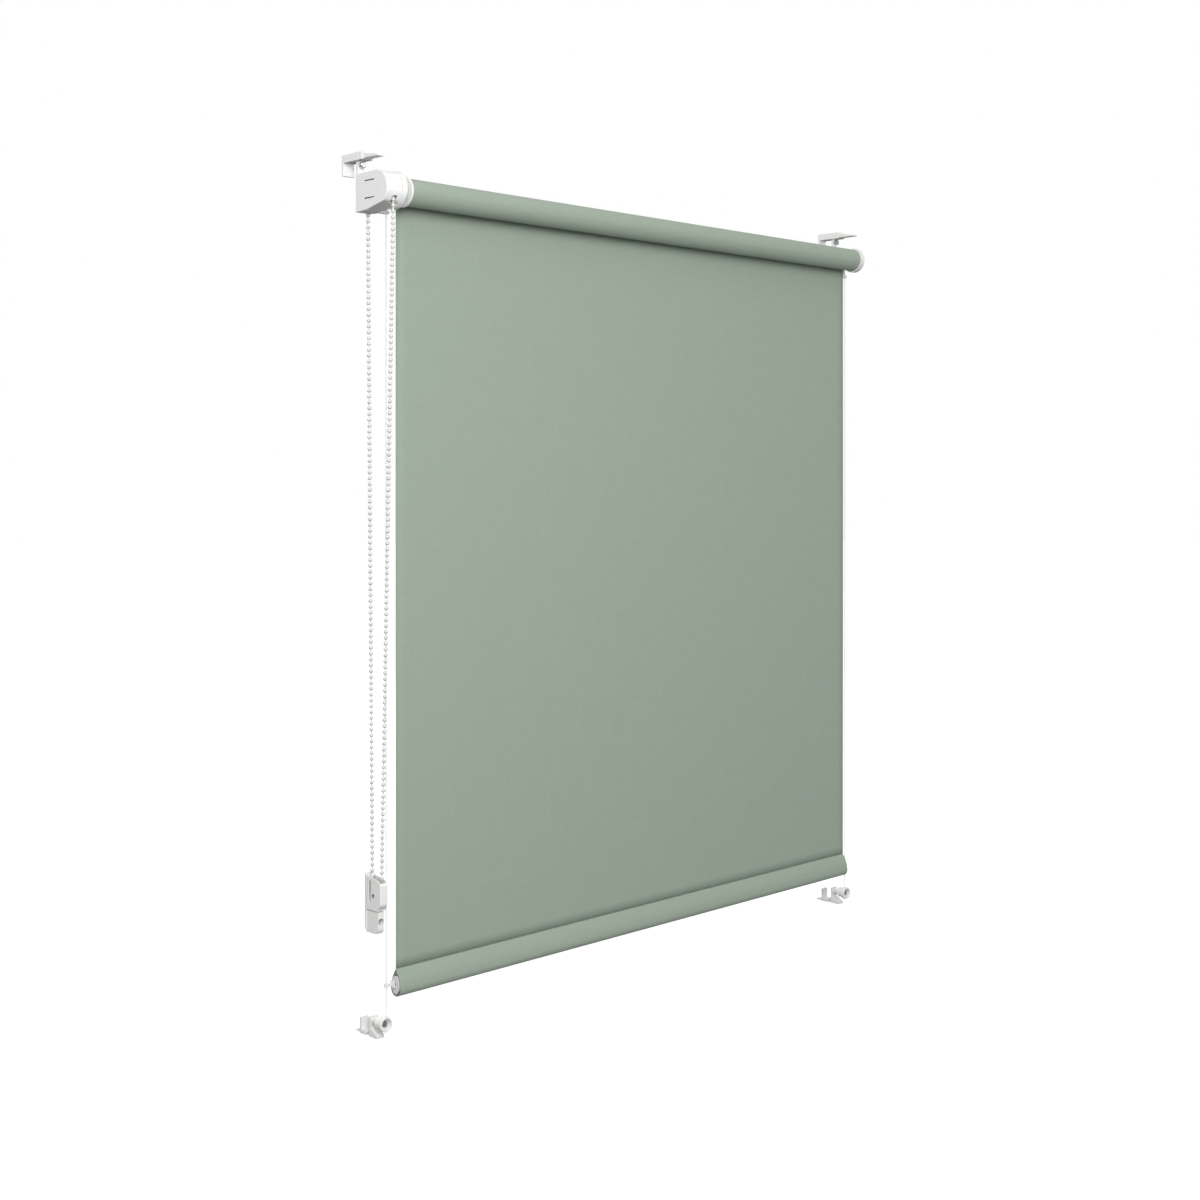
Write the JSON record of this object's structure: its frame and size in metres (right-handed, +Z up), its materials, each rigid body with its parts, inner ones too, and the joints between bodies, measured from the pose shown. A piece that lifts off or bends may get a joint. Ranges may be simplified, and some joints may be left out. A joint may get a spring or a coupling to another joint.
{
  "type": "roller blind",
  "caption": "Clamp-on roller blind with a cloth panel on a roller, side bead chain with holder, side guide wires and lower tension clamps.",
  "frame": {"origin": "middle of the left top clamp's jaw opening, on the plane where the hook rests on the sash", "axes": "+X along the roller away from the chain, +Y towards the window, +Z up"},
  "size_m": [0.8111, 0.0797, 0.9142],
  "materials": {
    "white_plastic": "satin moulded",
    "pale_plastic": "matt moulded",
    "steel": "zinc plated",
    "aluminium": "extruded",
    "cloth": "fine plain weave, sage green",
    "wire": "coated cord",
    "chain": "moulded beads",
    "pad": "foam tape"
  },
  "bodies": {
    "root": {"bead_chain": "chain", "cloth_panel": "cloth", "drive_base": "white_plastic", "drive_cover": "white_plastic", "drive_spindle": "steel", "holder_axle": "steel", "holder_body": "white_plastic", "holder_pad": "pad", "holder_plate": "white_plastic", "holder_screw": "steel", "idle_bracket": "white_plastic", "idle_pin": "steel", "left_clamp_bracket": "white_plastic", "left_clamp_screw": "steel", "left_foot_body": "white_plastic", "left_guide_wire": "wire", "left_knob_screw": "steel", "right_clamp_bracket": "white_plastic", "right_clamp_screw": "steel", "right_foot_body": "white_plastic", "right_guide_wire": "wire", "right_knob_screw": "steel"},
    "left_hook": {"left_clamp_hook": "white_plastic"},
    "right_hook": {"right_clamp_hook": "white_plastic"},
    "left_jaw": {"left_foot_jaw": "white_plastic"},
    "right_jaw": {"right_foot_jaw": "white_plastic"},
    "left_tension_knob": {"left_knob": "white_plastic"},
    "right_tension_knob": {"right_knob": "white_plastic"},
    "roller": {"roller_tube": "aluminium", "wound_cloth": "cloth", "drive_plug": "white_plastic", "idle_plug": "white_plastic", "chain_wheel": "pale_plastic", "wrap_spring": "steel"},
    "bar": {"hem_pocket": "cloth", "bottom_bar": "aluminium", "left_end_cap": "pale_plastic", "right_end_cap": "pale_plastic", "left_eyelet": "white_plastic", "right_eyelet": "white_plastic"},
    "pulley": {"holder_pulley": "pale_plastic"}
  },
  "joints": [
    {"name": "blind_lift", "type": "slide", "parent": "root", "child": "bar", "axis": [0, 0, 1], "range_m": [0, 0.77], "deforming": ["cloth_panel"]},
    {"name": "roller_spin", "type": "hinge", "parent": "root", "child": "roller", "pos_m": [0.4, -0.04405, -0.032], "axis": [1, 0, 0], "range_deg": [-1, 3074]},
    {"name": "pulley_spin", "type": "hinge", "parent": "root", "child": "pulley", "pos_m": [0.007, -0.03, -0.755], "axis": [1, 0, 0], "range_deg": [-1, 5533]},
    {"name": "left_hook_slide", "type": "slide", "parent": "root", "child": "left_hook", "axis": [0, 1, 0], "range_m": [-0.004, 0.006]},
    {"name": "right_hook_slide", "type": "slide", "parent": "root", "child": "right_hook", "axis": [0, 1, 0], "range_m": [-0.004, 0.006]},
    {"name": "left_jaw_slide", "type": "slide", "parent": "root", "child": "left_jaw", "axis": [0, 1, 0], "range_m": [-0.004, 0.008]},
    {"name": "right_jaw_slide", "type": "slide", "parent": "root", "child": "right_jaw", "axis": [0, 1, 0], "range_m": [-0.004, 0.008]},
    {"name": "left_knob_turn", "type": "hinge", "parent": "root", "child": "left_tension_knob", "pos_m": [0.0171, -0.027, -0.8895], "axis": [0, -1, 0], "continuous": true},
    {"name": "right_knob_turn", "type": "hinge", "parent": "root", "child": "right_tension_knob", "pos_m": [0.7961, -0.027, -0.8895], "axis": [0, -1, 0], "continuous": true}
  ],
  "couplings": [
    {"joint": "roller_spin", "follows": "blind_lift", "rad_per_m": 69.638},
    {"joint": "pulley_spin", "follows": "blind_lift", "rad_per_m": 125.35}
  ]
}
